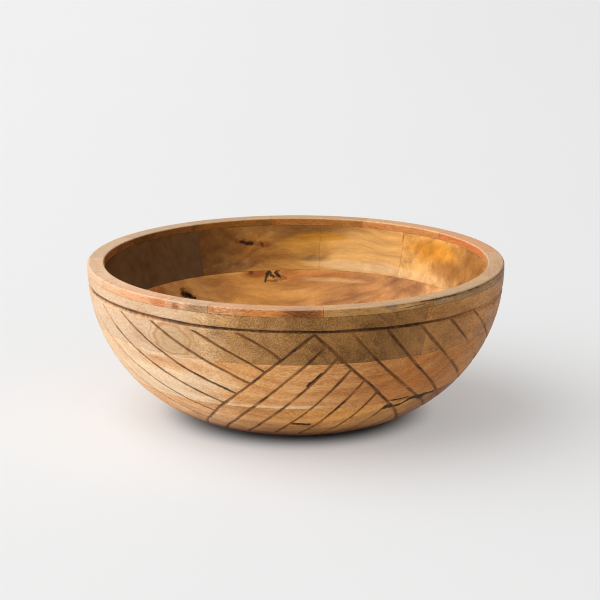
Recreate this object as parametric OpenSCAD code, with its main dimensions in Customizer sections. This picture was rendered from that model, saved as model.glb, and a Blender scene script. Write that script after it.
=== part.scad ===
// A turned salad bowl glued up from blocks of wood, with a carved outside.
// Upright as it stands on a table: +Z up, origin at the middle of its flat underside.
// Azimuths are measured around the bowl from its front (-Y) towards its right (+X).

/* [Turned shape] */
// Outer diameter at the rim
rim_d = 300; // [280:1:320]
// Height of the rim above the table
height = 113; // [110:1:114]
// Thickness of the wall at the rim
rim_wall = 12; // [9:0.5:15]
// Thickness of the floor at the middle
floor_t = 13; // [8:1:18]
// Height of the upright band at the top of the outside
band_h = 4; // [3:0.5:6]
// Radius of the round shoulder between the band and the underside
shoulder_r = 113; // [113:1:118]

/* [Glued layers] */
// Height of the base slab
base_h = 37; // [32:1:38]
// Height of the middle ring
middle_h = 36.5; // [32:0.5:37]
// Height of the upper ring, what is left above it is the rim ring
upper_h = 34; // [30:0.5:34]
// Azimuths of the glue joints in the upper ring
upper_joints = [36, 143, 172, 213, 334]; // [0:1:359] in rising order
// Azimuths of the glue joints in the rim ring, in rising order too
rim_joints = [7, 38, 68, 98, 128, 158, 188, 215, 242, 269, 297, 325, 337]; // [0:1:359]

/* [Carving] */
// Depth of the ring groove's middle below the rim
ring_groove_depth = 15.5; // [12:0.5:18]
// Radius of the gouge that cut the ring groove
ring_gouge_r = 1.5; // [1:0.1:2.5]
// Radius of the gouge that cut the slanting strokes
stroke_gouge_r = 1.2; // [0.8:0.1:1.3]
// Wood left standing between a stroke's end and the cut that it runs up to, middle to end
stroke_gap = 5; // [5:0.5:6]
// Azimuth of the first triangle's tip
tip_azimuth = 4.8; // [0:0.2:20]
// How far the triangle's left side leans over between its tip and its foot, in degrees
left_lean = 50; // [49:0.5:51]
// How far the triangle's right side leans over between its tip and its foot, in degrees
right_lean = 47.5; // [46:0.5:49]
// Number of strokes between two triangles, all leaning the way of a right side
outer_strokes = 9; // [6:1:9]
// Number of strokes inside a triangle, all leaning the way of its left side
inner_strokes = 7; // [4:1:7]

/* [Hidden] */
$fn = 180;
rim_r = rim_d / 2;
// Centre of the shoulder's arc in the turned section
shoulder_x = rim_r - shoulder_r;
shoulder_z = height - band_h;
// The hollow is one arc, upright at the rim and level where it meets the flat of the floor
hollow_depth = height - floor_t;
hollow_x = rim_r - rim_wall - hollow_depth;
// Heights of the glue lines
seam_low = base_h;
seam_mid = seam_low + middle_h;
seam_high = seam_mid + upper_h;
over = 1;
// How many times the triangle of strokes repeats around the bowl
repeats = 3;
// The strokes run between these depths below the rim
tip_depth = 17;
foot_depth = 106;
// Depth where the shortest outer stroke meets the next triangle, and the step to the next one
first_meet = 36.5;
meet_step = 9.4;
// Spacing of the outer strokes in degrees, it opens out with the cube of the stroke's number
outer_step = 9.7;
outer_growth = 0.017;
// Spacing of the inner strokes' starts in millimetres of depth, it opens out in the same way
inner_step = 8.6;
inner_growth = 0.04;
// Feet of the inner strokes, in degrees from the tip
inner_foot = -51.5;
inner_foot_step = 12.2;
inner_foot_growth = -0.1;
// Share of its lean that a stroke has made half way down the outside between its ends
left_half_lean = 0.5;
right_half_lean = 0.47;
inner_half_lean = 0.47;
outer_half_lean = 0.39;
outer_half_growth = 0.0003;
// Number of blocks
rim_count = len(rim_joints);
upper_count = len(upper_joints);
rim_names = [for (i = [1:rim_count]) str("rim_segment_", two_digits(i))];
upper_names = [for (i = [1:upper_count]) str("upper_ring_block_", i)];

function two_digits(n) = str(n < 10 ? "0" : "", n);

// Radius of the outside at a depth below the rim
function outer_r(depth) =
    depth < band_h ? rim_r : shoulder_x + sqrt(shoulder_r ^ 2 - (depth - band_h) ^ 2);

// Point of the outside at an azimuth and a depth below the rim
function on_outside(azimuth, depth) =
    [outer_r(depth) * sin(azimuth), -outer_r(depth) * cos(azimuth), height - depth];

// Angle on the shoulder's arc of a depth below the rim, and the depth of such an angle
function arc_angle(depth) = asin((depth - band_h) / shoulder_r);
function arc_depth(angle) = band_h + shoulder_r * sin(angle);

// Share of its lean that a stroke has made at the share t of its way down the arc
function lean_share(t, half) = (4 * half - 1) * t + (2 - 4 * half) * t ^ 2;

// A stroke is [start azimuth, start depth, end azimuth, end depth, share of lean half way down]
left_side = [0, tip_depth, -left_lean, foot_depth, left_half_lean];
right_side = [0, tip_depth, right_lean, foot_depth, right_half_lean];

function azimuth_on(stroke, depth) =
    let (top = arc_angle(stroke[1]), bottom = arc_angle(stroke[3]))
    stroke[0] + (stroke[2] - stroke[0])
        * lean_share((arc_angle(depth) - top) / (bottom - top), stroke[4]);

// Outer stroke k of a triangle, which ends on the next triangle's left side, at its foot at most
function outer_stroke(k) =
    let (start = outer_step * k + outer_growth * k ^ 3)
    let (meet = min(foot_depth, first_meet + meet_step * (outer_strokes - k)))
    let (half = outer_half_lean + outer_half_growth * k ^ 3)
    [start, tip_depth, 360 / repeats + azimuth_on(left_side, meet), meet, half];

// Inner stroke k of a triangle, which starts on its right side
function inner_stroke(k) =
    let (start = tip_depth + inner_step * k + inner_growth * k ^ 3)
    let (end = inner_foot + inner_foot_step * k + inner_foot_growth * k ^ 2)
    [azimuth_on(right_side, start), start, end, foot_depth, inner_half_lean];

one_triangle = concat(
    [left_side, right_side],
    [for (k = [1:outer_strokes]) outer_stroke(k)],
    [for (k = [1:inner_strokes]) inner_stroke(k)]
);

// True if two arcs of azimuth share anything, wherever each of them is counted from
function arcs_meet(from_a, to_a, from_b, to_b) =
    len([for (lap = [-360, 0, 360]) if (from_a + lap < to_b && to_a + lap > from_b) lap]) > 0;

// Centre of the circle through three points
function circle_centre(p, q, r) =
    let (u = q - p, v = r - p, w = cross(u, v))
    p + (cross(w, u) * (v * v) + cross(v, w) * (u * u)) / (2 * (w * w));

// One carved stroke: a round gouge swept along a circle that lies on the outside. Both ends
// stop short, so no two cuts run into each other.
module stroke_cut(stroke, turn) {
    half_azimuth = stroke[0] + (stroke[2] - stroke[0]) * stroke[4];
    half_depth = arc_depth((arc_angle(stroke[1]) + arc_angle(stroke[3])) / 2);
    first = on_outside(turn + stroke[0], stroke[1]);
    half = on_outside(turn + half_azimuth, half_depth);
    last = on_outside(turn + stroke[2], stroke[3]);
    centre = circle_centre(first, half, last);
    radius = norm(first - centre);
    axis_x = (first - centre) / radius;
    axis_z = cross(half - first, last - first) / norm(cross(half - first, last - first));
    axis_y = cross(axis_z, axis_x);
    sweep = atan2((last - centre) * axis_y, (last - centre) * axis_x);
    gap_angle = stroke_gap / radius * 180 / PI;
    multmatrix([
        [axis_x[0], axis_y[0], axis_z[0], centre[0]],
        [axis_x[1], axis_y[1], axis_z[1], centre[1]],
        [axis_x[2], axis_y[2], axis_z[2], centre[2]]
    ])
        rotate_extrude(angle = sweep - 2 * gap_angle, start = gap_angle)
            translate([radius, 0])
                circle(r = stroke_gouge_r, $fn = 24);
}

// The ring groove under the rim
module ring_groove_cut() {
    translate([0, 0, height - ring_groove_depth])
        rotate_extrude()
            translate([outer_r(ring_groove_depth), 0])
                circle(r = ring_gouge_r, $fn = 24);
}

// Everything that was carved into the part of the outside between two heights and two azimuths
module carving(bottom, top, from, to) {
    if (top > height - ring_groove_depth && bottom < height - ring_groove_depth)
        ring_groove_cut();
    for (turn = [tip_azimuth : 360 / repeats : tip_azimuth + 359])
        for (stroke = one_triangle) {
            left_end = turn + min(stroke[0], stroke[2]);
            right_end = turn + max(stroke[0], stroke[2]);
            in_height = height - stroke[1] > bottom && height - stroke[3] < top;
            if (in_height && arcs_meet(left_end - over, right_end + over, from, to))
                stroke_cut(stroke, turn);
        }
}

// Half of the bowl's turned section
module turned_section() {
    difference() {
        union() {
            intersection() {
                translate([shoulder_x, shoulder_z])
                    circle(shoulder_r);
                translate([shoulder_x, 0])
                    square([shoulder_r, shoulder_z]);
            }
            square([shoulder_x, height]);
            translate([0, shoulder_z])
                square([rim_r, band_h]);
        }
        translate([hollow_x, height])
            circle(hollow_depth);
        translate([-over, floor_t])
            square([hollow_x + over, height]);
        translate([0, height])
            square([rim_r + over, hollow_depth]);
    }
}

// The turned section between two heights, swept from one azimuth to another
module turned_block(bottom, top, from, to) {
    rotate([0, 0, from - 90])
        rotate_extrude(angle = to - from)
            intersection() {
                turned_section();
                translate([0, bottom])
                    square([rim_r + over, top - bottom]);
            }
}

module carved_block(bottom, top, from, to) {
    difference() {
        turned_block(bottom, top, from, to);
        carving(bottom, top, from, to);
    }
}

// Azimuth of joint i in a list that closes on itself
function joint_azimuth(joints, i) = i < len(joints) ? joints[i] : joints[i - len(joints)] + 360;

module base_slab() {
    color("#b9814f")
        carved_block(0, seam_low, 0, 360);
}

module middle_ring() {
    color("#d09a63")
        carved_block(seam_low, seam_mid, 0, 360);
}

module upper_ring_block(i) {
    color(i % 2 == 0 ? "#a98660" : "#c2a077")
        carved_block(seam_mid, seam_high, upper_joints[i], joint_azimuth(upper_joints, i + 1));
}

module rim_segment(i) {
    color(i % 3 == 0 ? "#c98d5a" : i % 3 == 1 ? "#d8b187" : "#b08a68")
        carved_block(seam_high, height, rim_joints[i], joint_azimuth(rim_joints, i + 1));
}

base_slab();
middle_ring();
for (i = [0:upper_count - 1])
    upper_ring_block(i);
for (i = [0:rim_count - 1])
    rim_segment(i);
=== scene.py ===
"""Carved wooden bowl: glued blocks of wood, turned and then carved by hand. Everything is in metres,
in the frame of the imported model; the numbers marked mm are turned into metres with MM."""

import math

import bpy
import numpy as np
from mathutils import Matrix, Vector


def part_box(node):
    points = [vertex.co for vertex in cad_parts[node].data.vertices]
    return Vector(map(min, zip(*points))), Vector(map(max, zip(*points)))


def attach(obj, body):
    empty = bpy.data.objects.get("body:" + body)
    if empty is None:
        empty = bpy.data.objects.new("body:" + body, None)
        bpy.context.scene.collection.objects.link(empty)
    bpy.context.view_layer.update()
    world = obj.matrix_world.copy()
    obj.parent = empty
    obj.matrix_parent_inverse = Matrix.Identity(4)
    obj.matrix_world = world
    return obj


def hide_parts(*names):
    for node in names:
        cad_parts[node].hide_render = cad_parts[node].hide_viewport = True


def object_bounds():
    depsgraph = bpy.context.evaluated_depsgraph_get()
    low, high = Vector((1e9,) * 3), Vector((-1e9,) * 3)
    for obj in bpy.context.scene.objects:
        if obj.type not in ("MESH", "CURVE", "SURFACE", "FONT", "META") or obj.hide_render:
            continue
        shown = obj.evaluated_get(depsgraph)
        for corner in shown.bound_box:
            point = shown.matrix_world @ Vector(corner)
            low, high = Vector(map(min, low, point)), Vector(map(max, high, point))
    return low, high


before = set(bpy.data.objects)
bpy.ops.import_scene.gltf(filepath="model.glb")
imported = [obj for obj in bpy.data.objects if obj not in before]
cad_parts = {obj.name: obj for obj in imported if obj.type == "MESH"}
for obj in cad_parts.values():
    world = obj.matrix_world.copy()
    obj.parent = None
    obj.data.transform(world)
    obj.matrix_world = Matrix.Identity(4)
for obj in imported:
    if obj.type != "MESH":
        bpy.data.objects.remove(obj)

cad_low, cad_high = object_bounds()

MM = 0.001

# ------------ section of the bowl, mm
RIM_TOP = round(cad_high.z / MM, 2)
RIM_RADIUS = round(cad_high.x / MM, 2)
BAND_HEIGHT = 4.0
SHOULDER_RADIUS = 113.0
SHOULDER_X = RIM_RADIUS - SHOULDER_RADIUS
SHOULDER_Z = RIM_TOP - BAND_HEIGHT
FLOOR_Z = 13.0
HOLLOW_DEPTH = 100.0
HOLLOW_X = 38.0
RIM_INSIDE = HOLLOW_X + HOLLOW_DEPTH
RIM_JOINT = round(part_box("rim_segment_01")[0][2] / MM, 2)

# ------------ carving, mm and degrees
RING_GROOVE_DEPTH = 15.5
TIP_AZIMUTH = 4.8  # of the first triangle of strokes
TIP_DEPTH = 17.0
FOOT_DEPTH = 106.0
REPEATS = 3
REPEAT_ANGLE = 360.0 / REPEATS
LEFT_LEAN = 50.0
RIGHT_LEAN = 47.5
OUTER_STROKES = 9
OUTER_STEP = 9.7  # spacing of their starts, it opens out with the cube
OUTER_GROWTH = 0.017
FIRST_MEET = 36.5  # depth where the shortest one meets the next triangle
MEET_STEP = 9.4
INNER_STROKES = 7
INNER_STEP = 8.6  # spacing of their starts down the right side
INNER_GROWTH = 0.04
INNER_FOOT = -51.5  # azimuths of their feet from the tip
INNER_FOOT_STEP = 12.2
INNER_FOOT_GROWTH = -0.1
LEFT_HALF_LEAN = 0.5  # shares of their lean that strokes make by mid way
RIGHT_HALF_LEAN = 0.47
INNER_HALF_LEAN = 0.47
OUTER_HALF_LEAN = 0.39
OUTER_HALF_GROWTH = 0.0003

CARVING_SEED = 11
STROKE_HALF_WIDTH = 1.35
STROKE_REACH = 6.0  # points further than this from a stroke aren't cut by it
STROKE_SHADE = 0.44  # how dark the strokes are on average, 0 to 1
STROKES_PALEST = -66.0  # azimuth where they are narrowest and stained palest, the pale stain being painted light from the window
RING_HALF_WIDTH = 2.1
RING_CUT = 1.2  # depth of the ring groove
RING_SHADE = 0.7
RING_TILT = 1.5  # how far the groove climbs off its level, left to right
RING_DARKEST = 10.0  # azimuths where the groove is darkest and palest
RING_SCORCHED = 68.0


def outer_radius(depth):
    """Outside radius at a depth below the rim."""
    below = np.maximum(depth - BAND_HEIGHT, 0.0)
    return SHOULDER_X + np.sqrt(SHOULDER_RADIUS ** 2 - below ** 2)


def inner_radius(height):
    """Inside radius at a height above the table, down to the floor of the bowl."""
    return HOLLOW_X + np.sqrt(np.maximum(HOLLOW_DEPTH ** 2 - (RIM_TOP - height) ** 2, 0.0))


def wander(position, knots):
    """Smooth random curve through the knots, one knot to each unit of position."""
    first = np.floor(position).astype(int)
    part = position - first
    part = part * part * (3.0 - 2.0 * part)
    count = len(knots)
    return knots[first % count] * (1.0 - part) + knots[(first + 1) % count] * part


def knots(random, count=48):
    """Random heights, -1 to 1, for wander to run through."""
    return random.uniform(-1.0, 1.0, count)


def azimuth_off(azimuth, middle):
    """Angle from a middle azimuth, -180 to 180."""
    return (azimuth - middle + 180.0) % 360.0 - 180.0


def smooth(low, high, value):
    """Smooth step from 0 at low to 1 at high."""
    part = np.clip((value - low) / (high - low), 0.0, 1.0)
    return part * part * (3.0 - 2.0 * part)


# ------------ strokes of the gouge
def arc_angle(depth):
    """Angle on the shoulder's arc of a depth below the rim."""
    return np.arcsin(np.clip((depth - BAND_HEIGHT) / SHOULDER_RADIUS, -1.0, 1.0))


def lean_share(part, half):
    """Share of a stroke's turn done at a part of its way down; half is the share at mid way."""
    return (4.0 * half - 1.0) * part + (2.0 - 4.0 * half) * part ** 2


def azimuth_on(stroke, depth):
    """Azimuth of a stroke at a depth below the rim."""
    start, top, end, bottom, half = stroke
    way = (arc_angle(depth) - arc_angle(top)) / (arc_angle(bottom) - arc_angle(top))
    return start + (end - start) * lean_share(way, half)


# A stroke is start azimuth, start depth, end azimuth, end depth and the share of its lean at mid way.
LEFT_SIDE = (0.0, TIP_DEPTH, -LEFT_LEAN, FOOT_DEPTH, LEFT_HALF_LEAN)
RIGHT_SIDE = (0.0, TIP_DEPTH, RIGHT_LEAN, FOOT_DEPTH, RIGHT_HALF_LEAN)


def outer_stroke(k):
    """Stroke k to the right of the triangle: it runs down to the next triangle's left side."""
    start = OUTER_STEP * k + OUTER_GROWTH * k ** 3
    meet = min(FOOT_DEPTH, FIRST_MEET + MEET_STEP * (OUTER_STROKES - k))
    half = OUTER_HALF_LEAN + OUTER_HALF_GROWTH * k ** 3
    return (start, TIP_DEPTH, REPEAT_ANGLE + azimuth_on(LEFT_SIDE, meet), meet, half)


def inner_stroke(k):
    """Stroke k inside the triangle: it starts on the right side and runs down to the left."""
    top = TIP_DEPTH + INNER_STEP * k + INNER_GROWTH * k ** 3
    foot = INNER_FOOT + INNER_FOOT_STEP * k + INNER_FOOT_GROWTH * k ** 2
    return (azimuth_on(RIGHT_SIDE, top), top, foot, FOOT_DEPTH, INNER_HALF_LEAN)


def all_strokes():
    """Every stroke of every triangle."""
    one_set = [LEFT_SIDE, RIGHT_SIDE]
    one_set += [outer_stroke(k) for k in range(1, OUTER_STROKES + 1)]
    one_set += [inner_stroke(k) for k in range(1, INNER_STROKES + 1)]
    for repeat in range(REPEATS):
        turn = TIP_AZIMUTH + repeat * REPEAT_ANGLE
        for start, top, end, bottom, half in one_set:
            yield (start + turn, top, end + turn, bottom, half)


# Cracks and bark in the outside: points along each, azimuth and height, and half its width in mm.
CRACKS = (
    (((30.9, 31.0), (32.6, 32.4)), 3.3),
    (((33.4, 30.8), (36.8, 31.4)), 2.3),
    (((36.8, 31.4), (39.4, 34.4)), 1.8),
    (((39.6, 35.2), (41.4, 35.8)), 3.6),
    (((42.8, 35.4), (46.4, 35.8)), 3.0),
    (((46.4, 35.8), (51.1, 35.7)), 1.7),
    (((44.0, 33.8), (46.4, 32.8)), 1.6),
    (((31.5, 37.6), (35.8, 37.2), (39.0, 38.2)), 1.0),
    (((-0.7, 21.6), (4.4, 20.4)), 2.3),
    (((3.2, 56.5), (6.9, 66.0)), 1.4),
)


def crack_distance(azimuth, height, points):
    """Distance in mm, along the outside, to a line through the points."""
    best = np.full(azimuth.shape, np.inf)
    for (from_azimuth, from_height), (to_azimuth, to_height) in zip(points, points[1:]):
        depth = RIM_TOP - (from_height + to_height) / 2.0
        radius, stretch = outer_radius(depth), 1.0 / math.cos(arc_angle(depth))
        x = np.radians(azimuth_off(azimuth, from_azimuth)) * radius
        y = (height - from_height) * stretch
        run = math.radians(to_azimuth - from_azimuth) * radius
        rise = (to_height - from_height) * stretch
        way = np.clip((x * run + y * rise) / (run ** 2 + rise ** 2), 0.0, 1.0)
        best = np.minimum(best, np.hypot(x - way * run, y - way * rise))
    return best


def gouge(distance, half_width):
    """Round-bottomed cut, 1 in the middle and 0 at the edge, with softened lips."""
    lip = 1.35
    part = np.clip(np.abs(distance) / half_width, 0.0, lip)
    return np.where(part < lip, np.exp(-2.1 * part ** 2.6), 0.0)


def deepened(cut, stain, here, tint):
    """Cut and stain where a new cut is added, the deeper of the two gives the stain."""
    return np.maximum(cut, here), np.where(here > cut, tint, stain)


def carve_strokes(azimuth, depth, random):
    """Cut and stain of the slanting strokes, each wavering in its own way, over lengths in mm."""
    radius = outer_radius(depth)
    below = np.clip(depth - BAND_HEIGHT, 0.0, SHOULDER_RADIUS - 1.0)
    slope = SHOULDER_RADIUS / np.sqrt(SHOULDER_RADIUS ** 2 - below ** 2)
    cut = np.zeros_like(azimuth)
    stain = np.zeros_like(azimuth)
    # Near STROKES_PALEST the strokes are cut narrower and their stain painted paler: painted light on
    # the side that faces the window.
    narrowing_and_painted_light = smooth(-36.0, -14.0, -np.abs(azimuth_off(azimuth, STROKES_PALEST)))
    shade = STROKE_SHADE + 0.14 * np.cos(np.radians(2.0 * (azimuth + 5.0))) - 0.16 * narrowing_and_painted_light
    for stroke in all_strokes():
        side, deep, wide, dark = (knots(random) for _ in range(4))
        tone_of_cut, reach, late = random.uniform(0.0, 1.0, 3)
        _, top, _, bottom, _ = stroke
        at = np.clip(depth, top - 4.0, bottom + 4.0)
        turn_rate = (azimuth_on(stroke, at + 0.5) - azimuth_on(stroke, at - 0.5)) / slope
        arc = np.radians(azimuth_off(azimuth, azimuth_on(stroke, at))) * radius
        lean = np.radians(turn_rate) * radius
        along = (depth - top) * slope * np.sqrt(1.0 + lean ** 2)
        distance = arc / np.sqrt(1.0 + lean ** 2)
        near = np.abs(distance) < STROKE_REACH
        if not near.any():
            continue
        distance = distance + 0.35 * wander(along / 22.0, side) + 0.12 * wander(along / 6.0, deep)
        distance = distance + 0.09 * wander(along / 1.7, wide)
        first = top - 1.2 + (2.5 * late ** 2 if top < TIP_DEPTH + 1.0 else 0.0)
        last = bottom + (1.0 if bottom < FOOT_DEPTH - 0.5 else -2.0 * reach)
        ends = smooth(first - 0.5, first + 1.5, depth) * smooth(last + 0.5, last - 1.8, depth)
        half_width = STROKE_HALF_WIDTH - 0.15 * narrowing_and_painted_light
        half_width = half_width + 0.22 * wander(along / 13.0, wide) + 0.1 * wander(along / 3.1, dark)
        strength = 1.0 + 0.2 * wander(along / 17.0, deep)
        here = np.where(near, strength * ends * gouge(distance, half_width), 0.0)
        tint = shade + 0.2 * (tone_of_cut - 0.5) + 0.2 * wander(along / 14.0, dark)
        tint = np.clip(tint + 0.12 * wander(along / 3.7, side), 0.02, 1.0)
        cut, stain = deepened(cut, stain, here, tint)
    return cut, stain


def carve_ring(azimuth, depth, random, cut, stain):
    """Adds the ring groove: black and narrow in front, brown and wide elsewhere."""
    count = 40
    level, thick, dark = (knots(random, count) for _ in range(3))
    around = azimuth / 360.0 * count
    ring = RING_GROOVE_DEPTH + RING_TILT * np.sin(np.radians(azimuth)) + 0.25 * wander(around, level)
    front = smooth(-58.0, -24.0, -np.abs(azimuth_off(azimuth, RING_DARKEST)))
    scorched = smooth(-36.0, -16.0, -np.abs(azimuth_off(azimuth, RING_SCORCHED)))
    half_width = RING_HALF_WIDTH - 0.9 * front
    half_width = half_width + 0.16 * wander(around * 2.0, thick) + 0.1 * wander(around * 9.0, level)
    here = (RING_CUT + 0.12 * wander(around, dark)) * gouge(depth - ring, half_width)
    tint = RING_SHADE + 0.12 * wander(around * 3.0, dark) + 0.12 * front - 0.4 * scorched
    # Paler stain on the lower half of the groove: painted light on the wall that faces up to the
    # window.
    tint = tint - (0.5 - 0.35 * front) * smooth(0.1, 0.9, depth - ring)
    tint = np.clip(tint + 0.12 * wander(around * 14.0, thick), 0.02, 1.0)
    return deepened(cut, stain, here, tint)


def carve_cracks(azimuth, depth, random, cut, stain):
    """Adds the cracks and the bark, black and ragged."""
    for points, half_width in CRACKS:
        ragged, torn = knots(random), knots(random)
        far = crack_distance(azimuth, RIM_TOP - depth, points)
        far = far + 0.35 * wander(azimuth * 2.1, ragged) + 0.3 * wander(depth * 1.3, torn)
        here = gouge(np.maximum(far, 0.0), half_width)
        stain = np.maximum(stain, smooth(0.2, 0.6, here))
        cut = np.maximum(cut, here)
    return cut, stain


def carve(azimuth, depth):
    """Depth of the cuts in mm, and how dark they are, over a grid of outside points."""
    random = np.random.default_rng(CARVING_SEED)
    cut, stain = carve_strokes(azimuth, depth, random)
    cut, stain = carve_ring(azimuth, depth, random, cut, stain)
    return carve_cracks(azimuth, depth, random, cut, stain)


# ------------ meshes
EASE = 0.12  # mm, how far a glued edge is rounded off
CLOSE = np.array([0.0, 0.12, 0.3])  # mm, close rows and columns next to a joint
JOINT_REACH = 4.0  # mm, the joint attribute stops counting here
RIM_EASE_OUT = 1.5  # mm, how far the rim's two edges are rounded off
RIM_EASE_IN = 1.2
OUTER_REACH = 0.08  # mm, unevenness left by sanding
INNER_REACH = 0.15
RIM_REACH = 0.05
RIPPLE_SEED = 1
# Spacing of columns, of rows outside and of rows inside, mm. They keep each piece under 200,000
# triangles, above which its STL file would be thinned out.
BASE_STEPS = (0.95, 0.8, 1.8)
MIDDLE_STEPS = (0.82, 0.82, 1.6)
UPPER_STEPS = (0.58, 0.58, 1.6)
RIM_STEPS = (0.55, 0.4, 0.7)


def azimuth_span(name):
    """First and last azimuth of a CAD node, or None for a whole ring."""
    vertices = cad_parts[name].data.vertices
    points = np.empty(len(vertices) * 3)
    vertices.foreach_get("co", points)
    points = points.reshape(-1, 3)
    angle = np.arctan2(points[:, 0], -points[:, 1])
    middle = math.atan2(np.sin(angle).mean(), np.cos(angle).mean())
    off = azimuth_off(np.degrees(angle - middle), 0.0)
    whole_ring = 300.0
    if off.max() - off.min() > whole_ring:
        return None
    return math.degrees(middle) + off.min(), math.degrees(middle) + off.max()


def spaced(low, high, step, close=CLOSE):
    """Values from low to high about step apart, with close ones at both ends."""
    count = max(2, round((high - low - 2.0 * close[-1]) / step) + 1)
    middle = np.linspace(low + close[-1], high - close[-1], count)
    return np.concatenate([low + close[:-1], middle, (high - close[:-1])[::-1]])


def columns(span, step, radius):
    """Azimuths of a block's columns, step mm apart: a multiple of 4 round a ring, odd in a sector."""
    if span is None:
        return np.linspace(0.0, 360.0, 4 * round(math.pi * radius / step / 2.0), endpoint=False)
    azimuths = spaced(*span, math.degrees(step / radius), np.degrees(CLOSE / radius))
    if len(azimuths) % 2 == 0:
        middle = len(azimuths) // 2
        azimuths = np.insert(azimuths, middle, azimuths[middle - 1:middle + 1].mean())
    return azimuths


def outer_rows(low, high, step, joints):
    """Section of the outside from low to high: radius, height, normal and distance to a joint."""
    start, end = (SHOULDER_RADIUS * math.asin((SHOULDER_Z - z) / SHOULDER_RADIUS) for z in (low, high))
    along = -spaced(-start, -end, step)
    turn = along / SHOULDER_RADIUS
    out, up = np.cos(turn), -np.sin(turn)
    gap = joint_gap(along, (start, end), joints)
    return SHOULDER_X + SHOULDER_RADIUS * out, SHOULDER_Z + SHOULDER_RADIUS * up, out, up, gap


def inner_rows(high, low, step, joints):
    """Section of the inside from high down to low."""
    start, end = (HOLLOW_DEPTH * math.asin((RIM_TOP - z) / HOLLOW_DEPTH) for z in (high, low))
    along = spaced(start, end, step)
    turn = along / HOLLOW_DEPTH
    out, up = np.cos(turn), -np.sin(turn)
    gap = joint_gap(along, (start, end), joints)
    return HOLLOW_X + HOLLOW_DEPTH * out, RIM_TOP + HOLLOW_DEPTH * up, -out, -up, gap


def joint_gap(along, ends, joints):
    """Distance along a section to the ends of it that are joints."""
    gap = np.full(along.shape, JOINT_REACH)
    for end, is_joint in zip(ends, joints):
        if is_joint:
            gap = np.minimum(gap, np.abs(along - end))
    return gap


def rim_rows():
    """Section over the rim, from its joint up the outside, over the top and down the inside."""
    _, up_step, down_step = RIM_STEPS
    lower = outer_rows(RIM_JOINT, SHOULDER_Z, up_step, (True, False))
    side = np.arange(SHOULDER_Z + 0.35, RIM_TOP - RIM_EASE_OUT, up_step)
    corner = np.radians(np.linspace(0.0, 90.0, 8))
    round_out, round_up = np.cos(corner), np.sin(corner)
    top = np.linspace(RIM_RADIUS - RIM_EASE_OUT, RIM_INSIDE + RIM_EASE_IN, 14)[1:-1]
    down = inner_rows(RIM_TOP - RIM_EASE_IN, RIM_JOINT, down_step, (False, True))
    far = np.full_like(corner, JOINT_REACH)
    parts = [
        lower,
        (np.full_like(side, RIM_RADIUS), side, np.ones_like(side), np.zeros_like(side),
         np.minimum(side - RIM_JOINT, JOINT_REACH)),
        (RIM_RADIUS + RIM_EASE_OUT * (round_out - 1.0), RIM_TOP + RIM_EASE_OUT * (round_up - 1.0),
         round_out, round_up, far),
        (top, np.full_like(top, RIM_TOP), np.zeros_like(top), np.ones_like(top),
         np.full_like(top, JOINT_REACH)),
        (RIM_INSIDE + RIM_EASE_IN * (1.0 - round_up), RIM_TOP + RIM_EASE_IN * (round_out - 1.0),
         -round_up, round_out, far),
        tuple(row[1:] for row in down),
    ]
    return tuple(np.concatenate(values) for values in zip(*parts))


def ripple(azimuth, along, reach):
    """Slight unevenness left by sanding, mm inwards: ten waves that climb round the bowl."""
    random = np.random.default_rng(RIPPLE_SEED)
    total = 0.0
    for _ in range(10):
        turns = random.integers(5, 40)
        climb, phase = random.uniform(-0.25, 0.25), random.uniform(0.0, 6.28)
        total = total + np.sin(np.radians(azimuth) * turns + along * climb + phase)
    return reach * np.clip(0.5 + total / 12.0, 0.0, 1.0)


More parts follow.
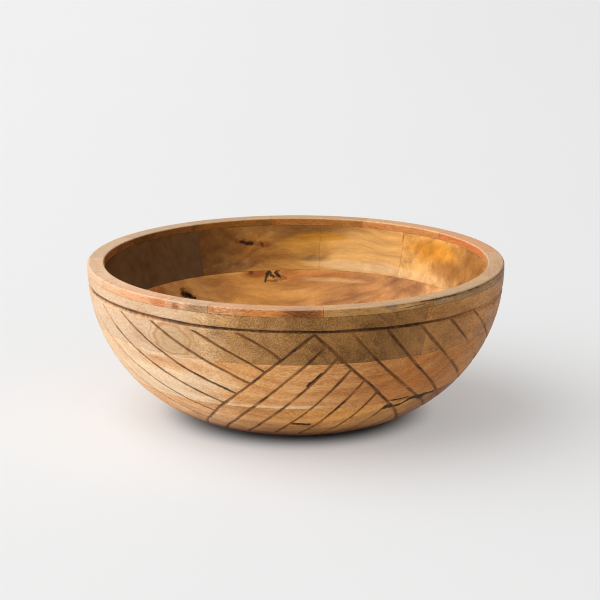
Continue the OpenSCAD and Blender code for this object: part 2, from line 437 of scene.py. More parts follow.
class Block:
    """Points, attributes and faces of one closed piece, in mm."""

    def __init__(self, name):
        self.name = name
        self.span = azimuth_span(name)
        low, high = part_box(name)
        self.low, self.high = round(low[2] / MM, 2), round(high[2] / MM, 2)
        self.points, self.values, self.faces = [], [], []
        self.count = 0

    def grid(self, azimuths, rows, carved=False, inner=False, reach=OUTER_REACH):
        """Adds a grid of points and returns their indices."""
        radius, height, out, up, gap = (values[:, None] for values in rows)
        azimuth = np.broadcast_to(azimuths[None, :], (len(radius), len(azimuths)))
        gap = np.broadcast_to(gap, azimuth.shape)
        if self.span is not None:
            for side in self.span:
                off = np.radians(azimuth_off(azimuth, side))
                gap = np.minimum(gap, np.abs(off) * radius)
        sink = EASE * np.clip(1.0 - gap / CLOSE[1], 0.0, 1.0)
        sink = sink + ripple(azimuth, radius + height, reach)
        cut = stain = np.zeros(azimuth.shape)
        if carved:
            cut, stain = carve(azimuth, RIM_TOP - np.broadcast_to(height, azimuth.shape))
        sink = sink + cut
        angle = np.radians(azimuth)
        from_axis, level = radius - out * sink, height - up * sink
        points = [from_axis * np.sin(angle), -from_axis * np.cos(angle), level]
        self.points.append(np.stack(points, axis=-1).reshape(-1, 3))
        values = [cut, stain, gap, np.full(cut.shape, float(inner))]
        self.values.append(np.stack(values, axis=-1).reshape(-1, 4))
        index = self.count + np.arange(azimuth.size).reshape(azimuth.shape)
        self.count += azimuth.size
        return index

    def point(self, height, inner):
        """Adds one point on the axis."""
        self.points.append(np.array([[0.0, 0.0, height]]))
        self.values.append(np.array([[0.0, 0.0, JOINT_REACH, float(inner)]]))
        self.count += 1
        return self.count - 1

    def ring(self, index):
        """The rows of a whole ring run on to their first column."""
        return index if self.span is not None else np.concatenate([index, index[:, :1]], axis=1)

    def skin(self, index):
        """Faces over a grid."""
        index = self.ring(index)
        self.faces.append(np.stack([index[:-1, :-1], index[:-1, 1:], index[1:, 1:], index[1:, :-1]],
                                   axis=-1).reshape(-1, 4))

    def bridge(self, first, second):
        """Faces between two rows, of which one may have every second column only."""
        first, second = self.ring(first[None, :])[0], self.ring(second[None, :])[0]
        if len(first) == len(second):
            corners = [first[:-1], first[1:], second[1:], second[:-1]]
        elif len(first) > len(second):
            corners = [first[:-1:2], first[1::2], first[2::2], second[1:], second[:-1]]
        else:
            corners = [first[:-1], first[1:], second[2::2], second[1::2], second[:-1:2]]
        self.faces.append(np.stack(corners, axis=-1))

    def fan(self, row, tip):
        """Faces from a row to the point after it."""
        row = self.ring(row[None, :])[0]
        self.faces.append(np.stack([row[:-1], row[1:], np.full(len(row) - 1, tip)], axis=-1))

    def cap(self, grids):
        """The two butt ends of a sector."""
        if self.span is not None:
            self.faces.append(np.concatenate([grid[:, 0] for grid in grids])[None, :])
            self.faces.append(np.concatenate([grid[:, -1] for grid in grids])[None, ::-1])

    def make(self, material):
        """Turns the block into a Blender object that rides on the root and stands for its CAD node."""
        mesh = bpy.data.meshes.new(self.name)
        points = np.concatenate(self.points) * MM
        totals = np.concatenate([np.full(len(part), part.shape[1]) for part in self.faces])
        corners = np.concatenate([part.ravel() for part in self.faces])
        mesh.vertices.add(len(points))
        mesh.vertices.foreach_set("co", points.astype(np.float32).ravel())
        mesh.loops.add(len(corners))
        mesh.loops.foreach_set("vertex_index", corners.astype(np.int32))
        mesh.polygons.add(len(totals))
        mesh.polygons.foreach_set("loop_start", (np.cumsum(totals) - totals).astype(np.int32))
        for key, values in zip(("cut", "stain", "joint", "inner"), np.concatenate(self.values).T):
            layer = mesh.attributes.new(key, "FLOAT", "POINT")
            layer.data.foreach_set("value", values.astype(np.float32))
        mesh.update(calc_edges=True)
        mesh.shade_smooth()
        mesh.validate()
        mesh.materials.append(material)
        piece = bpy.data.objects.new("wood_" + self.name, mesh)
        bpy.context.scene.collection.objects.link(piece)
        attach(piece, "root")
        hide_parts(self.name)


def layer_block(name, steps, material):
    """A block of the upper or the middle ring."""
    block = Block(name)
    azimuths = columns(block.span, steps[0], RIM_RADIUS)
    rows = outer_rows(block.low, block.high, steps[1], (True, True))
    outer = block.grid(azimuths, rows, carved=True)
    rows = inner_rows(block.high, block.low, steps[2], (True, True))
    inner = block.grid(azimuths[::2], rows, inner=True, reach=INNER_REACH)
    for grid in (outer, inner):
        block.skin(grid)
    block.bridge(outer[-1], inner[0])
    block.bridge(inner[-1], outer[0])
    block.cap((outer, inner))
    block.make(material)


def rim_block(name, material):
    """A segment of the rim ring."""
    block = Block(name)
    azimuths = columns(block.span, RIM_STEPS[0], RIM_RADIUS)
    grid = block.grid(azimuths, rim_rows(), reach=RIM_REACH)
    block.skin(grid)
    block.bridge(grid[-1], grid[0])
    block.cap((grid,))
    block.make(material)


def level_rows(radius, height, up):
    """Section of a level surface that faces up (1) or down (-1)."""
    flat = np.zeros_like(radius)
    return radius, flat + height, flat, flat + up, flat + JOINT_REACH


def base_block(name, material):
    """The base slab, with the floor of the bowl and the underside."""
    block = Block(name)
    azimuths = columns(None, BASE_STEPS[0], outer_radius(RIM_TOP - block.high))
    rows = outer_rows(block.low, block.high, BASE_STEPS[1], (False, True))
    foot_radius = rows[0][0]
    outer = block.grid(azimuths, rows, carved=True)
    rows = inner_rows(block.high, FLOOR_Z, BASE_STEPS[2], (True, False))
    inner = block.grid(azimuths[::2], rows, inner=True, reach=INNER_REACH)
    radius = np.linspace(HOLLOW_X, 0.0, 12)[1:-1]
    floor = block.grid(azimuths[::4], level_rows(radius, FLOOR_Z, 1.0), inner=True, reach=0.0)
    radius = np.linspace(foot_radius, 0.0, 10)[1:-1][::-1]
    under = block.grid(azimuths[::2], level_rows(radius, block.low, -1.0), reach=0.0)
    for grid in (outer, inner, floor, under):
        block.skin(grid)
    block.bridge(outer[-1], inner[0])
    block.bridge(inner[-1], floor[0])
    block.bridge(under[-1], outer[0])
    block.fan(floor[-1], block.point(FLOOR_Z, True))
    block.fan(under[0][::-1], block.point(block.low, False))
    block.make(material)


# ------------ materials
# Sockets of a Mix node that mixes colours.
MIX_SHARE, MIX_FIRST, MIX_SECOND, MIX_RESULT = 0, 6, 7, 2

# Display colours, 0 to 255: a cut from pale to scorched, its pale end also carrying painted light
# on lit cut walls, bark, the painted highlight on the top of the rim, an oval.
CUT_PALE = (220, 150, 84)
CUT_BROWN = (114, 66, 24)
CUT_BLACK = (38, 24, 12)
BARK = (34, 20, 10)
RIM_TOP_HIGHLIGHT = (244, 210, 176)
OVAL_LINE = (184, 126, 66)
OVAL_FILL = (186, 150, 100)
# What pores, golden wood and glued joints do to the red, green and blue of the wood.
PORE_TONE = (0.64, 0.50, 0.35)
GOLDEN_TONE = (1.02, 0.90, 0.56)
JOINT_TONE = (0.36, 0.30, 0.22)
MIDDLE_TONE = 0.4  # share of the deep colour where the figure is neutral
OIL_LEVEL = 0.16  # specular level, low because the oil has soaked in


class Paint:
    """Builds the nodes of one material."""

    def __init__(self, name):
        self.material = bpy.data.materials.new(name)
        self.material.use_nodes = True
        self.tree = self.material.node_tree
        self.shader = self.tree.nodes["Principled BSDF"]

    def node(self, kind, inputs, output=0, **settings):
        """Adds a node, sets it up, fills or links its inputs and returns one of its outputs."""
        node = self.tree.nodes.new("ShaderNode" + kind)
        for key, value in settings.items():
            setattr(node, key, value)
        for key, value in inputs.items():
            self.fill(node.inputs[key], value)
        return node.outputs[output]

    def fill(self, socket, value):
        """Links a value to a socket, or sets it there if it is a constant."""
        if isinstance(value, bpy.types.NodeSocket):
            self.tree.links.new(value, socket)
        else:
            socket.default_value = value

    def math(self, operation, *values, clamp=False):
        return self.node("Math", dict(enumerate(values)), operation=operation, use_clamp=clamp)

    def vector(self, operation, *values, output=0):
        return self.node("VectorMath", dict(enumerate(values)), output, operation=operation)

    def noise(self, vector, scale, detail=2.0, roughness=0.5, output=0):
        return self.node("TexNoise", {"Vector": vector, "Scale": scale, "Detail": detail,
                                      "Roughness": roughness}, output)

    def grained_noise(self, vector, along, across, detail=2.0, roughness=0.5, output=0):
        """Noise that changes at one rate along the fibres and at another across them, per mm."""
        stretched = self.vector("MULTIPLY", vector, (along, across, across))
        return self.noise(stretched, 1.0, detail, roughness, output)

    def swing(self, value, size):
        """A value from 0 to 1 turned into one on both sides of 0."""
        return self.math("MULTIPLY", self.math("SUBTRACT", value, 0.5), size)

    def ramp(self, value, low, high, bottom=0.0, top=1.0):
        """Smooth step from bottom to top as the value goes from low to high."""
        return self.node("MapRange", {"Value": value, "From Min": low, "From Max": high,
                                      "To Min": bottom, "To Max": top}, interpolation_type="SMOOTHSTEP")

    def blend(self, share, first, second):
        """Colour between first and second."""
        first, second = (value if isinstance(value, bpy.types.NodeSocket) else (*value, 1.0)
                         for value in (first, second))
        inputs = {MIX_SHARE: share, MIX_FIRST: first, MIX_SECOND: second}
        return self.node("Mix", inputs, MIX_RESULT, data_type="RGBA")


def tone(red, green, blue):
    """Linear colour from display values, 0 to 255."""
    return tuple((part / 255.0 / 12.92) if part <= 10 else ((part / 255.0 + 0.055) / 1.055) ** 2.4
                 for part in (red, green, blue))


def outside(azimuth, height):
    """Point on the outside, in metres."""
    radius, angle = float(outer_radius(RIM_TOP - height)), math.radians(azimuth)
    return Vector((radius * math.sin(angle), -radius * math.cos(angle), height)) * MM


def inside(azimuth, height):
    """Point on the inside, in metres."""
    radius, angle = float(inner_radius(height)), math.radians(azimuth)
    return Vector((radius * math.sin(angle), -radius * math.cos(angle), height)) * MM


def wood(name, pale, deep, grain=0.0, pith=(0.0, -60.0), gap=9.0, streaks=0.5, pores=0.5, speckle=0.35,
         blotches=0.6, golden=0.5, figure=1.0, veins=0.0, top_highlight=0.0, glue=(0.05, 0.6), patches=(),
         inner_patches=(), cracks=(), ovals=(), seed=0.0):
    """Oiled wood between a pale and a deep colour.

    grain is the direction of the fibres in degrees from +X towards +Y, pith is how far the heart
    lies from the bowl's middle, across and up, in mm, and gap is a year's growth in mm. streaks,
    pores, speckle, blotches, golden, figure and veins say how strong each layer of the figure is,
    top_highlight how pale the top of the rim is painted, a painted highlight as if lit from above,
    and glue how dark the joints are, from and to. patches (outside), inner_patches, cracks and
    ovals hold the arguments of add_patch, add_crack and add_oval. seed moves the cut along the tree.
    """
    paint = Paint(name)
    place = paint.node("TexCoord", {}, "Object")
    grained = paint.node("Mapping", {"Vector": place, "Scale": (1.0 / MM,) * 3,
                                     "Rotation": (0.0, 0.0, -math.radians(grain))})
    grained = paint.vector("ADD", grained, (seed * 37.0, -pith[0], -pith[1]))
    bend = paint.grained_noise(grained, 0.012, 0.022, 2.0, output=1)
    bend = paint.vector("MULTIPLY", paint.vector("SUBTRACT", bend, (0.5, 0.5, 0.5)), (0.0, 26.0, 26.0))
    bent = paint.vector("ADD", grained, bend)

    across = paint.vector("MULTIPLY", bent, (0.0, 1.0, 1.0))
    from_pith = paint.vector("LENGTH", across, output="Value")
    uneven = paint.noise(across, 0.03, 3.0)
    year = paint.math("ADD", paint.math("DIVIDE", from_pith, gap), paint.math("MULTIPLY", uneven, 3.0))
    growth = paint.math("FRACT", year)
    late = paint.math("MULTIPLY", paint.ramp(growth, 0.2, 0.9), paint.ramp(growth, 1.0, 0.9))
    broad = paint.grained_noise(bent, 0.006, 0.09, 3.0, 0.55)
    streak = paint.grained_noise(bent, 0.025, 0.5, 4.0, 0.6)
    fibre = paint.grained_noise(bent, 0.25, 1.3, 2.0, 0.8)
    blotch = paint.grained_noise(grained, 0.010, 0.022, 3.0, 0.55)
    cloud = paint.grained_noise(bent, 0.012, 0.11, 4.0, 0.62)

    # The inside is wetter with oil: more cloud in its figure, less speckle and fewer pores.
    inner = paint.node("Attribute", {}, "Fac", attribute_name="inner")
    outer = paint.math("SUBTRACT", 1.0, inner)
    fibre_share = paint.ramp(inner, 0.0, 1.0, 1.0, 0.35)
    cloud_share = paint.ramp(inner, 0.0, 1.0, 0.35, 1.0)
    deepness = paint.swing(blotch, 2.4 * blotches)
    for layer in (paint.math("MULTIPLY", paint.math("MULTIPLY", late, broad), 0.4),
                  paint.swing(broad, 2.0 * streaks),
                  paint.swing(streak, 1.3 * streaks),
                  paint.math("MULTIPLY", paint.swing(cloud, cloud_share), 2.6 * figure),
                  paint.math("MULTIPLY", paint.swing(fibre, fibre_share), 4.0 * speckle)):
        deepness = paint.math("ADD", deepness, layer)
    colour = tone_at(paint, deepness, pale, deep)
    warmth = paint.ramp(paint.grained_noise(grained, 0.012, 0.04, 3.0, 0.6), 0.42, 0.66, 0.0, golden)
    colour = paint.blend(warmth, colour, paint.vector("MULTIPLY", colour, GOLDEN_TONE))
    for side, listed in ((outer, patches), (inner, inner_patches)):
        for patch in listed:
            colour = add_patch(paint, place, bent, colour, deepness, side, *patch)
    for oval in ovals:
        colour = add_oval(paint, place, bent, colour, outer, *oval)
    for crack in cracks:
        colour = add_crack(paint, place, colour, *crack)
    if veins:
        vein = paint.ramp(growth, 0.10, 0.02, 0.0, veins)
        vein = paint.math("MULTIPLY", vein, paint.ramp(streak, 0.4, 0.6))
        colour = paint.blend(paint.math("MULTIPLY", vein, outer), colour, tone(*pale))
    # Painted highlight: the top of the rim is painted paler, as if lit from above.
    if top_highlight:
        height = paint.node("SeparateXYZ", {"Vector": place}, "Z")
        on_top = paint.ramp(height, (RIM_TOP - 0.9) * MM, (RIM_TOP - 0.2) * MM, 0.0, top_highlight)
        colour = paint.blend(on_top, colour, tone(*RIM_TOP_HIGHLIGHT))

    cell = paint.vector("MULTIPLY", bent, (0.2, 1.0, 1.0))
    from_cell = paint.node("TexVoronoi", {"Vector": cell, "Scale": 1.0}, "Distance")
    pore = paint.ramp(from_cell, 0.42, 0.2)
    crowd = paint.grained_noise(bent, 0.05, 0.2, 2.0)
    pore = paint.math("MULTIPLY", pore, paint.ramp(crowd, 0.3, 0.6, 0.4, 1.0))
    pore = paint.math("MULTIPLY", pore, paint.ramp(inner, 0.0, 1.0, 1.0, 0.25))
    colour = paint.blend(paint.math("MULTIPLY", pore, pores), colour,
                         paint.vector("MULTIPLY", colour, PORE_TONE))
    colour = stained(paint, place, colour, glue)

    relief = paint.math("SUBTRACT", paint.math("MULTIPLY", fibre, 0.35), pore)
    bump = paint.node("Bump", {"Strength": 0.3, "Distance": 0.2 * MM, "Height": relief})
    dullness = paint.math("SUBTRACT", paint.ramp(streak, 0.2, 0.8, 0.40, 0.54),
                          paint.math("MULTIPLY", inner, 0.10))
    shader = paint.shader
    paint.fill(shader.inputs["Base Color"], colour)
    paint.fill(shader.inputs["Roughness"], dullness)
    paint.fill(shader.inputs["Normal"], bump)
    shader.inputs["Specular IOR Level"].default_value = OIL_LEVEL
    return paint.material


def tone_at(paint, deepness, pale, deep):
    """Colour from pale to deep, as the figure of the wood says."""
    share = paint.math("ADD", deepness, MIDDLE_TONE, clamp=True)
    return paint.blend(share, tone(*pale), tone(*deep))


def reach_from(paint, place, centre, size, wave, uneven):
    """How far a point is from a centre, in sizes, with an uneven edge."""
    offset = paint.vector("SUBTRACT", place, centre)
    offset = paint.vector("MULTIPLY", offset, tuple(1.0 / (length * MM) for length in size))
    far = paint.vector("LENGTH", offset, output="Value")
    return paint.math("ADD", far, paint.swing(wave, uneven))


def add_patch(paint, place, bent, colour, deepness, side, centre, size, shade, share, edge=0.5,
              uneven=1.6, depth=0.7):
    """Mixes in another tone within an uneven ellipsoid; depth is how much darker its figure gets."""
    wave = paint.grained_noise(bent, 0.03, 0.11, 4.0, 0.6)
    far = reach_from(paint, place, centre, size, wave, uneven)
    mask = paint.math("MULTIPLY", paint.ramp(far, 1.0 + edge, 1.0 - edge, 0.0, share), side)
    pale = tuple(min(255.0, part * 1.08) for part in shade)
    deep = tuple(part * depth ** warmer for part, warmer in zip(shade, (0.75, 1.0, 1.2)))
    return paint.blend(mask, colour, tone_at(paint, deepness, pale, deep))


def add_oval(paint, place, bent, colour, side, centre, size):
    """Grain cut across a hump: an oval of deeper wood with warm lines round it."""
    wave = paint.grained_noise(bent, 0.04, 0.09, 2.0, 0.5)
    far = reach_from(paint, place, centre, size, wave, 1.3)
    inside_it = paint.math("MULTIPLY", paint.ramp(far, 1.0, 0.75, 0.0, 0.49), side)
    colour = paint.blend(inside_it, colour, tone(*OVAL_FILL))
    for middle, width, strength in ((1.0, 0.18, 0.7), (0.55, 0.12, 0.28), (1.35, 0.14, 0.35)):
        off = paint.math("ABSOLUTE", paint.math("SUBTRACT", far, middle))
        line = paint.ramp(off, width, 0.1 * width, 0.0, strength)
        colour = paint.blend(line, colour, tone(*OVAL_LINE))
    return colour


def add_crack(paint, place, colour, points, half_width, shade=BARK, share=0.92):
    """A dark ragged line through the points, or a spot if there is only one; half_width in mm."""
    nearest = None
    for start, end in zip(points, points[1:] or points):
        run = end - start
        offset = paint.vector("SUBTRACT", place, tuple(start))
        if run.length > 0.0:
            way = paint.vector("DOT_PRODUCT", offset, tuple(run / run.length_squared), output="Value")
            way = paint.math("ADD", way, 0.0, clamp=True)
            way = paint.node("CombineXYZ", {0: way, 1: way, 2: way})
            offset = paint.vector("SUBTRACT", offset, paint.vector("MULTIPLY", way, tuple(run)))
        far = paint.vector("LENGTH", offset, output="Value")
        nearest = far if nearest is None else paint.math("MINIMUM", nearest, far)
    ragged = paint.swing(paint.noise(place, 300.0, 3.0, 0.65), min(4.5 * half_width, 6.0) * MM)
    nearest = paint.math("ADD", nearest, ragged)
    mask = paint.ramp(nearest, 1.6 * half_width * MM, 0.6 * half_width * MM, 0.0, share)
    return paint.blend(mask, colour, tone(*shade))


def stained(paint, place, colour, glue):
    """Darkens the carved cuts and, between two strengths from place to place, the glued joints."""
    cut, stain, joint = (paint.node("Attribute", {}, "Fac", attribute_name=key)
                         for key in ("cut", "stain", "joint"))
    grit = paint.noise(place, 900.0, 2.0)
    burnt = paint.blend(paint.ramp(stain, 0.0, 0.45), tone(*CUT_PALE), tone(*CUT_BROWN))
    burnt = paint.blend(paint.ramp(stain, 0.4, 0.95), burnt, tone(*CUT_BLACK))
    in_cut = paint.ramp(paint.math("ADD", cut, paint.math("MULTIPLY", grit, 0.45)), 0.36, 0.9)
    in_cut = paint.math("MULTIPLY", in_cut, paint.ramp(stain, 0.0, 1.0, 0.7, 0.95))
    colour = paint.blend(in_cut, colour, burnt)
    line = paint.ramp(paint.math("ADD", joint, paint.math("MULTIPLY", grit, 0.3)), 0.46, 0.16)
    patchy = paint.ramp(paint.noise(place, 70.0, 2.0), 0.4, 0.65, *glue)
    return paint.blend(paint.math("MULTIPLY", line, patchy), colour,
                       paint.vector("MULTIPLY", colour, JOINT_TONE))


# ------------ the pieces
# A patch is centre, size in mm, display colour and share, then maybe edge, unevenness and depth.
# A crack is its points and half its width in mm, then maybe display colour and share.
base_block("base_slab", wood(
    "base_wood", (236, 176, 110), (180, 118, 58), grain=-6, pith=(30, -70), seed=1,
    streaks=0.35, pores=0.5, speckle=0.5, blotches=0.4, figure=0.8, golden=0.2, glue=(0.3, 0.9),
    patches=[
        (outside(-50, 26), (56, 56, 26), (236, 186, 134), 0.75),
        (outside(28, 26), (60, 60, 22), (236, 170, 84), 0.8),
        (outside(66, 24), (56, 56, 26), (124, 72, 26), 0.85, 0.9, 1),
        # Painted shade: a dark band round the foot, where the bowl meets the table.
        (outside(-8, 0), (120, 60, 17), (80, 38, 10), 0.92, 0.8),
    ]))

layer_block("middle_ring", MIDDLE_STEPS, wood(
    "middle_wood", (246, 190, 124), (194, 128, 70), grain=5, pith=(10, -80), seed=2,
    streaks=0.3, pores=0.45, speckle=0.5, blotches=0.4, golden=0.1, figure=0.75,
    patches=[
        (outside(-62, 54), (70, 70, 36), (238, 204, 166), 0.8, 0.5, 1.6, 0.82),
        (outside(-40, 56), (40, 40, 28), (248, 210, 172), 0.85, 0.5, 1.6, 0.84),
        (outside(-31, 41.5), (22, 22, 1.5), (250, 214, 178), 0.8, 0.5, 2.4, 0.9),
        (outside(-6, 38.6), (34, 34, 1.3), (246, 204, 160), 0.8, 0.5, 2.2, 0.9),
        (outside(-36, 66), (30, 30, 5), (228, 160, 94), 0.6),
        (outside(62, 55), (60, 70, 40), (196, 126, 50), 0.85),
        (outside(30, 52), (38, 38, 34), (180, 106, 30), 0.75, 0.8, 1),
    ],
    inner_patches=[
        (inside(180, 55), (110, 60, 40), (224, 166, 88), 0.85),
        (inside(150, 60), (50, 40, 30), (196, 138, 76), 0.75),
        (inside(170, 70.5), (26, 10, 2.4), (208, 134, 66), 0.65),
        (inside(165, 66.8), (32, 10, 1.3), (242, 200, 138), 0.55, 0.7, 2.2, 0.8),
        (inside(139, 69), (24, 24, 6), (166, 112, 64), 0.8),
        (inside(-137, 62), (44, 44, 18), (190, 146, 88), 0.7),
        (inside(-165, 62), (24, 24, 12), (216, 158, 80), 0.6),
        (inside(-178, 69.5), (9, 6, 5), (190, 116, 54), 0.7, 0.7),
        (inside(-166.5, 71.5), (10, 6, 4.5), (156, 88, 38), 0.85, 0.6),
    ],
    cracks=[
        ((inside(-172.7, 65.6), inside(-176.5, 67.8), inside(-174.1, 69)), 1.2, (128, 76, 26), 0.6),
        ((inside(-169.2, 66.4), inside(-172.7, 65.6)), 0.9, (110, 62, 22), 0.55),
        ((inside(-169.2, 66.4), inside(-169.9, 70.4), inside(-170.7, 72.2), inside(-172, 69)), 1.25),
        ((inside(-172.6, 71.6), inside(-174.1, 69)), 1.25),
        ((inside(-174, 73.2), inside(-172.6, 71.6)), 1, (84, 44, 24), 0.7),
        ((inside(-164.3, 72.6),), 1.5, (104, 60, 28), 0.75),
        ((inside(-137.6, 63.2),), 5, (128, 88, 48), 0.6),
        ((inside(-136.4, 64.2), inside(-138.2, 62.4)), 2.1, (24, 14, 8)),
        ((inside(-138.2, 62.4), inside(-140.6, 59.4)), 1.3, (24, 14, 8)),
        ((inside(-135.6, 67), inside(-137.4, 67.6)), 0.8, (90, 56, 26), 0.7),
    ]))

# Blocks 1 to 3 share the inside at the back, blocks 4 and 5 the outside in front.
BACK_WALL = [
    (inside(176, 90), (80, 60, 40), (228, 178, 88), 0.6, 0.7),
    (inside(-149, 92), (34, 34, 40), (124, 88, 46), 0.95, 0.7, 1, 0.8),
    (inside(-172, 88), (24, 24, 12), (176, 124, 56), 0.7),
    (inside(-157, 78.5), (24, 24, 3), (162, 122, 74), 0.75),
    (inside(180, 104.5), (46, 30, 6), (146, 108, 58), 0.85),
    (inside(160, 106), (26, 26, 4), (170, 124, 64), 0.6),
    (inside(156, 92), (30, 30, 14), (230, 184, 112), 0.7),
    (inside(170, 98.5), (17, 17, 2.6), (220, 156, 34), 0.7, 0.7, 2.6),
    (inside(177, 91), (18, 18, 6), (188, 140, 52), 0.7),
    (inside(174, 81.5), (9, 9, 2), (130, 102, 60), 0.7, 0.8, 3),
    (inside(155, 77.6), (44, 36, 3.6), (240, 204, 150), 0.85, 0.5, 1.2, 0.8),
    (inside(128, 77.5), (32, 32, 3.6), (224, 180, 122), 0.75),
    (inside(129, 97), (26, 26, 9), (212, 142, 34), 0.8, 0.6, 1.6, 0.8),
    (inside(122, 86), (20, 20, 7), (164, 110, 54), 0.85, 0.6, 1.6, 0.8),
    (inside(106, 92), (30, 30, 24), (150, 100, 48), 0.85, 0.5, 1),
]
BACK_CRACKS = [
    ((inside(-160.2, 96.4), inside(-170.6, 92.4)), 1.9, (120, 66, 26), 0.55),
    ((inside(-161.7, 95.9), inside(-163.6, 94.6), inside(-165.6, 93.9)), 1.15, (38, 20, 8)),
    ((inside(-168.9, 93),), 1.3, (72, 44, 18), 0.8),
    ((inside(143, 105.5), inside(143, 101)), 0.6, (110, 70, 32), 0.5),
]
FRONT_WALL = dict(grain=-56, pith=(40, 150), seed=6, streaks=0.3, ovals=[
    (outside(-33.8, 85.5), (14.5, 14.5, 10.5)),
])

UPPER = {
    1: dict(pale=(222, 158, 92), deep=(160, 104, 52), grain=62, pith=(40, 210), pores=0.6,
            speckle=0.5, figure=0.6, seed=3, golden=0.4, cracks=BACK_CRACKS,
            inner_patches=[(inside(128, 90), (80, 80, 60), (222, 172, 100), 0.95)] + BACK_WALL,
            patches=[(outside(44, 90), (24, 24, 24), (162, 112, 58), 0.8)]),
    2: dict(pale=(236, 184, 116), deep=(186, 130, 72), grain=-20, pith=(60, 150), seed=4,
            figure=0.7, golden=0.3, cracks=BACK_CRACKS, inner_patches=BACK_WALL),
    3: dict(pale=(228, 174, 104), deep=(172, 118, 60), grain=-16, pith=(60, 150), seed=4,
            figure=0.7, golden=0.35, pores=0.4, cracks=BACK_CRACKS, inner_patches=BACK_WALL),
    4: dict(pale=(230, 198, 164), deep=(196, 154, 114), pores=0.35, speckle=0.5, golden=0, figure=0.5,
            patches=[(outside(-22, 90), (18, 18, 40), (222, 182, 132), 0.95, 0.7, 1)],
            inner_patches=[
        # Darker grey-brown wood inside the left wall, partly painted shade where this wall faces away
        # from the window.
        (inside(-105, 90), (60, 80, 60), (112, 94, 70), 1, 0.5, 0.6, 0.8),
        (inside(-140, 90), (50, 50, 50), (106, 84, 58), 1, 0.4, 0.6, 0.8),
    ], **FRONT_WALL),
    5: dict(pale=(170, 122, 66), deep=(104, 68, 30), gap=14, pores=0.6, speckle=0.75, golden=0.2,
            veins=0.5, patches=[
        (outside(-16, 91), (24, 24, 40), (192, 148, 94), 0.75, 0.7, 1),
        (outside(-29, 90), (20, 20, 40), (224, 184, 136), 0.95, 0.7, 0.8),
        (outside(-7, 90), (20, 20, 40), (186, 140, 84), 0.6, 0.8, 1),
        (outside(24, 88), (28, 28, 18), (130, 90, 42), 0.6),
        (outside(38, 92), (16, 16, 30), (162, 114, 62), 0.8),
    ], **FRONT_WALL),
}
for number, look in UPPER.items():
    material = wood(f"upper_wood_{number}", **look)
    layer_block(f"upper_ring_block_{number}", UPPER_STEPS, material)

RIM = {
    1: dict(pale=(210, 162, 100), deep=(150, 104, 52), grain=23, patches=[
        (outside(25, 112.5), (5, 5, 2.4), (150, 126, 104), 0.85, 0.4, 0.8),
        (outside(31.5, 110.5), (11, 11, 1.6), (240, 200, 138), 0.85)], cracks=[
        ((outside(29, 109.6), outside(35, 110.3)), 0.35, (92, 58, 28), 0.8),
        ((outside(34, 112.2), outside(38.4, 112)), 0.5, (70, 46, 28), 0.8)]),
    2: dict(pale=(204, 164, 114), deep=(148, 112, 68), grain=53, patches=[
        (outside(60, 111), (16, 16, 4), (206, 162, 106), 0.7)], cracks=[
        ((outside(37.6, 112), outside(45, 111.6), outside(57, 112)), 0.5, (70, 46, 28), 0.8)]),
    3: dict(pale=(206, 160, 112), deep=(150, 106, 66), grain=85),
    4: dict(pale=(216, 140, 84), deep=(176, 96, 50), grain=116),
    5: dict(pale=(216, 154, 96), deep=(172, 108, 58), grain=146),
    6: dict(pale=(186, 132, 68), deep=(132, 86, 40), grain=173),
    7: dict(pale=(160, 112, 54), deep=(110, 72, 32), grain=200, top_highlight=0.5),
    8: dict(pale=(146, 106, 58), deep=(98, 68, 34), grain=227, top_highlight=0.6),
    9: dict(pale=(176, 132, 84), deep=(124, 88, 52), grain=255, top_highlight=0.65),
    10: dict(pale=(236, 200, 166), deep=(200, 156, 120), grain=282),
    11: dict(pale=(236, 182, 138), deep=(212, 146, 100), grain=310, patches=[
        (outside(-38, 110.5), (6, 6, 4), (214, 128, 78), 0.7),
        (outside(-58, 112), (12, 12, 3), (240, 200, 164), 0.6)]),
    12: dict(pale=(226, 180, 142), deep=(176, 130, 92), grain=329, speckle=0.8, patches=[
        (outside(-32.5, 109.4), (2.8, 2.8, 2.6), (176, 92, 66), 0.7),
        (outside(-26, 110), (7, 7, 5), (166, 134, 96), 0.8)]),
    13: dict(pale=(208, 136, 72), deep=(156, 90, 38), grain=351, speckle=0.9, patches=[
        (outside(-19, 110), (12, 12, 6), (228, 170, 122), 0.7),
        (outside(2, 110), (13, 13, 6), (130, 74, 32), 0.85)]),
}
RIM_WOOD = dict(pith=(10, 190), pores=0.6, glue=(0.45, 1), top_highlight=0.4)
for number, look in RIM.items():
    look = {**RIM_WOOD, "seed": 10 + number, **look}
    rim_block(f"rim_segment_{number:02d}", wood(f"rim_wood_{number:02d}", **look))


# ------------ stage, lights and camera
FLOOR_HALF = 12.0  # metres
FLOOR_LEFT, FLOOR_RIGHT = 0.475, 0.405  # floor colour on either side; the darker right is painted shade
# Painted light: the floor glows though it is no lamp, which lightens the shadows on it.
FLOOR_PAINTED_GLOW = 0.36
PAINTED_GLOW_FROM, PAINTED_GLOW_TO = 0.07, 0.105  # metres from the middle; no painted glow under the bowl, which leaves a painted shadow round its foot


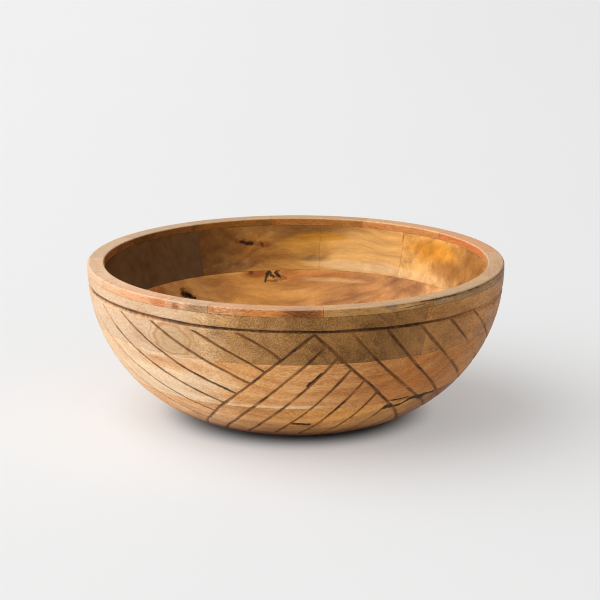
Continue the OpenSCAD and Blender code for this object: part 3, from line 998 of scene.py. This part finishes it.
def make_floor_paint():
    """Floor paint with painted light: painted shade that darkens it a little towards the right, and a
    faint painted glow everywhere but under the bowl, which leaves a painted shadow round the foot.
    """
    paint = Paint("floor_paint")
    place = paint.node("TexCoord", {}, "Object")
    cloud = paint.math("MULTIPLY", paint.noise(place, 1.5, 3.0), 0.2)
    # Painted shade: the floor is painted darker towards the right, where the room is dimmer.
    side = paint.ramp(paint.node("SeparateXYZ", {"Vector": place}, "X"), -0.5, 0.6, 0.0, 0.9)
    paint.fill(paint.shader.inputs["Base Color"],
               paint.blend(paint.math("ADD", side, cloud), (FLOOR_LEFT,) * 3, (FLOOR_RIGHT,) * 3))
    paint.shader.inputs["Roughness"].default_value = 0.9
    from_middle = paint.vector("LENGTH", place, output="Value")
    # Painted light: the glow fades out under the bowl, a painted shadow round its foot.
    painted_glow = paint.ramp(from_middle, PAINTED_GLOW_FROM, PAINTED_GLOW_TO, 0.0, FLOOR_PAINTED_GLOW)
    paint.fill(paint.shader.inputs["Emission Strength"], painted_glow)
    paint.shader.inputs["Emission Color"].default_value = (1.0, 1.0, 1.0, 1.0)
    return paint.material


floor_mesh = bpy.data.meshes.new("floor")
corners = [(-FLOOR_HALF, -FLOOR_HALF), (FLOOR_HALF, -FLOOR_HALF), (FLOOR_HALF, FLOOR_HALF),
           (-FLOOR_HALF, FLOOR_HALF)]
floor_mesh.from_pydata([(x, y, 0.0) for x, y in corners], [], [(0, 1, 2, 3)])
floor_mesh.materials.append(make_floor_paint())
floor = bpy.data.objects.new("floor", floor_mesh)
bpy.context.scene.collection.objects.link(floor)

# The room is bright on the left, where a wide window is, and dimmer on the right.
ROOM_LEVEL = 0.47
ROOM_SIDE, ROOM_FRONT, ROOM_TOP = 0.55, 0.32, 0.12  # how much brighter each way is
world = bpy.data.worlds.new("studio")
world.use_nodes = True
sky = world.node_tree
way = sky.nodes.new("ShaderNodeTexCoord").outputs["Generated"]
level = sky.nodes.new("ShaderNodeVectorMath")
level.operation = "DOT_PRODUCT"
level.inputs[1].default_value = (-ROOM_SIDE, -ROOM_FRONT, ROOM_TOP)
sky.links.new(way, level.inputs[0])
raised = sky.nodes.new("ShaderNodeMath")
raised.inputs[1].default_value = ROOM_LEVEL
sky.links.new(level.outputs["Value"], raised.inputs[0])
sky.links.new(raised.outputs[0], sky.nodes["Background"].inputs["Strength"])
sky.nodes["Background"].inputs["Color"].default_value = (1.0, 1.0, 1.0, 1.0)
bpy.context.scene.world = world

WINDOW_AZIMUTH = math.radians(-85.0)
WINDOW_ELEVATION = math.radians(46.0)
WINDOW_POWER = 2.3
WINDOW_WIDTH = math.radians(80.0)
window_light = bpy.data.lights.new("window", "SUN")
window_light.energy = WINDOW_POWER
window_light.angle = WINDOW_WIDTH
window = bpy.data.objects.new("window", window_light)
from_window = Vector((math.sin(WINDOW_AZIMUTH) * math.cos(WINDOW_ELEVATION),
                      -math.cos(WINDOW_AZIMUTH) * math.cos(WINDOW_ELEVATION),
                      math.sin(WINDOW_ELEVATION)))
window.rotation_mode = "QUATERNION"
window.rotation_quaternion = (-from_window).to_track_quat("-Z", "Y")
bpy.context.scene.collection.objects.link(window)

CAMERA_DISTANCE = 1.6
CAMERA_ELEVATION = math.radians(13.105)
LENS = 133.0
SENSOR_WIDTH = 36.0
AIM_RIGHT, AIM_BELOW = 0.00296, 0.03025  # metres from the rim's centre to the picture's middle
rim_centre = Vector((0.0, 0.0, cad_high.z))
toward = Vector((0.0, -math.cos(CAMERA_ELEVATION), math.sin(CAMERA_ELEVATION)))
upward = Vector((0.0, math.sin(CAMERA_ELEVATION), math.cos(CAMERA_ELEVATION)))
camera_data = bpy.data.cameras.new("camera")
camera_data.lens = LENS
camera_data.sensor_width = SENSOR_WIDTH
camera_data.clip_end = 50.0
camera = bpy.data.objects.new("camera", camera_data)
camera.location = rim_centre + toward * CAMERA_DISTANCE
aim = rim_centre + Vector((AIM_RIGHT, 0.0, 0.0)) - upward * AIM_BELOW
camera.rotation_mode = "QUATERNION"
camera.rotation_quaternion = (aim - camera.location).to_track_quat("-Z", "Y")
bpy.context.scene.collection.objects.link(camera)
bpy.context.scene.camera = camera
bpy.context.scene.cycles.filter_width = 1.1            # pixels, a little sharper than the default
bpy.context.scene.cycles.caustics_reflective = False
bpy.context.scene.view_settings.view_transform = "Standard"

bpy.context.view_layer.update()
